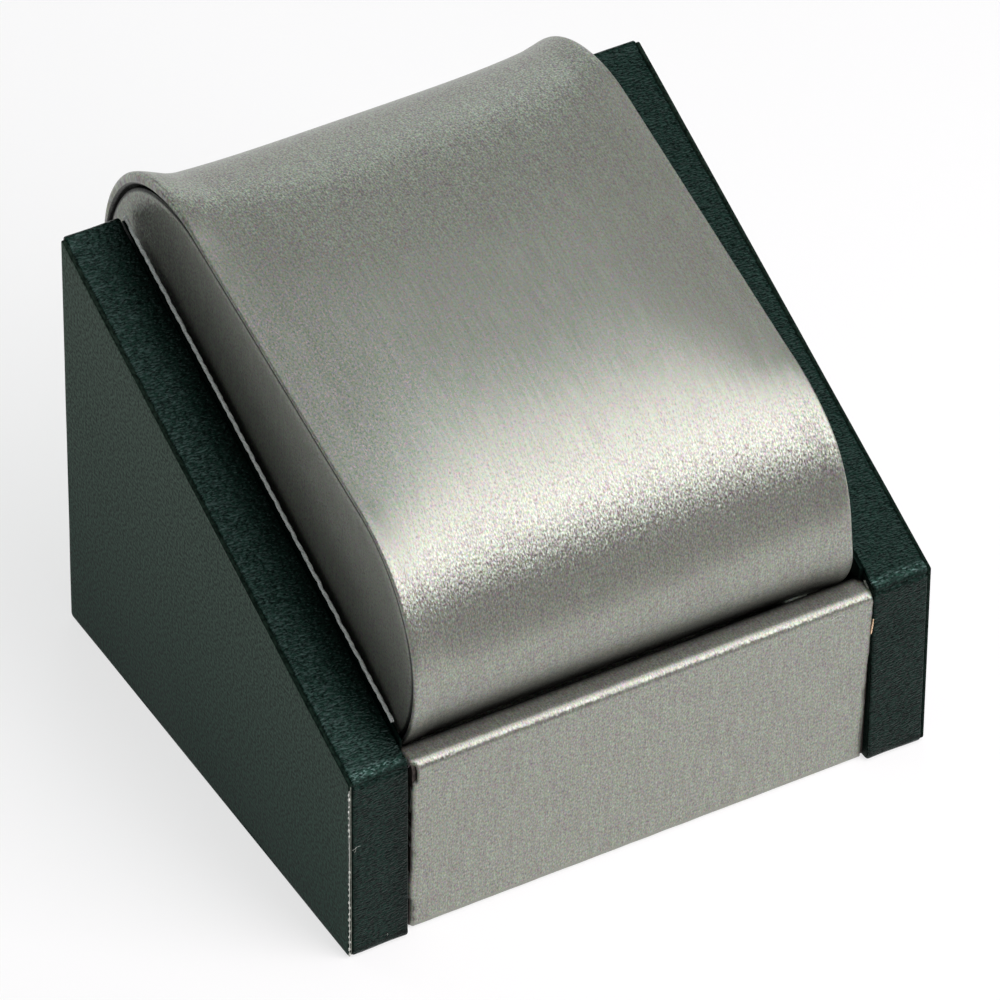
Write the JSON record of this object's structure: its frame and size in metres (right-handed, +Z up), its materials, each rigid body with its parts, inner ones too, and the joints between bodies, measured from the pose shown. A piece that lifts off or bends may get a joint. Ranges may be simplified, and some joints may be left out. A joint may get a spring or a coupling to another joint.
{
  "type": "watch stand",
  "caption": "Tabletop stand with wedge side panels, a front board and a padded oval cushion that a watch is strapped round.",
  "frame": {"origin": "centre of the stand's own box, on the surface it stands on", "axes": "+Z up, +X to the right as seen from the front, +Y from the low front to the high back"},
  "size_m": [0.08, 0.0774, 0.0696],
  "materials": {
    "leatherette": "fine grained, satin",
    "satin": "satin",
    "bare_board": "matte",
    "card": "matte",
    "foam": "matte",
    "felt": "matte"
  },
  "bodies": {
    "root": {"left_side_board": "bare_board", "left_side_edge_strip": "leatherette", "left_side_outer_sheet": "leatherette", "left_side_liner": "leatherette", "right_side_board": "bare_board", "right_side_edge_strip": "leatherette", "right_side_outer_sheet": "leatherette", "right_side_liner": "leatherette", "front_board": "bare_board", "front_board_cover": "satin", "seat_board": "bare_board", "seat_cover": "satin", "back_board": "bare_board", "back_board_cover": "satin", "base_board": "bare_board", "base_felt": "felt", "cushion_foam": "foam", "cushion_sleeve": "satin", "cushion_left_cap_card": "card", "cushion_left_cap_cover": "satin", "cushion_right_cap_card": "card", "cushion_right_cap_cover": "satin"}
  },
  "joints": []
}
